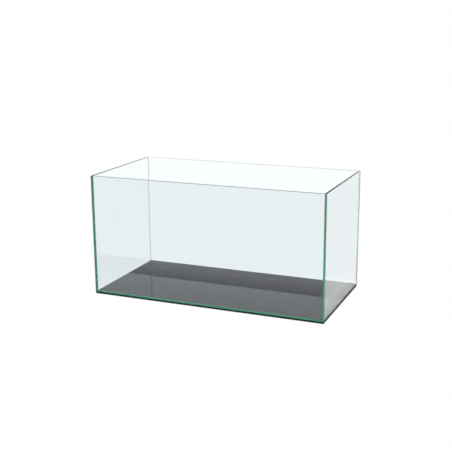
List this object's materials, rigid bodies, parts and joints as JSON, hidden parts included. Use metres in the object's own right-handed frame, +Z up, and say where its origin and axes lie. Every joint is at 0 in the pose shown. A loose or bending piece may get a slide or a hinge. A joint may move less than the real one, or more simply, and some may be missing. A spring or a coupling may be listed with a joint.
{
  "type": "glass aquarium tank",
  "caption": "Open-topped rimless rectangular aquarium of clear glass panes bonded with clear silicone, standing on a thin black foam mat.",
  "frame": {"origin": "centre of the underside of the foam mat, where the tank stands", "axes": "+Z up, +X along the length to the right of the front, -Y towards the front"},
  "size_m": [0.6, 0.3, 0.303],
  "materials": {
    "glass": "polished",
    "silicone": "satin",
    "foam": "matte"
  },
  "bodies": {
    "root": {"front_pane": "glass", "right_pane": "glass", "back_pane": "glass", "left_pane": "glass", "base_pane": "glass", "bond_front_left": "silicone", "bond_front_right": "silicone", "bond_back_right": "silicone", "bond_back_left": "silicone", "base_bond_front": "silicone", "base_bond_right": "silicone", "base_bond_back": "silicone", "base_bond_left": "silicone", "bead_front_left": "silicone", "bead_front_right": "silicone", "bead_back_right": "silicone", "bead_back_left": "silicone", "base_bead_front": "silicone", "base_bead_right": "silicone", "base_bead_back": "silicone", "base_bead_left": "silicone", "foam_mat": "foam"}
  },
  "joints": []
}
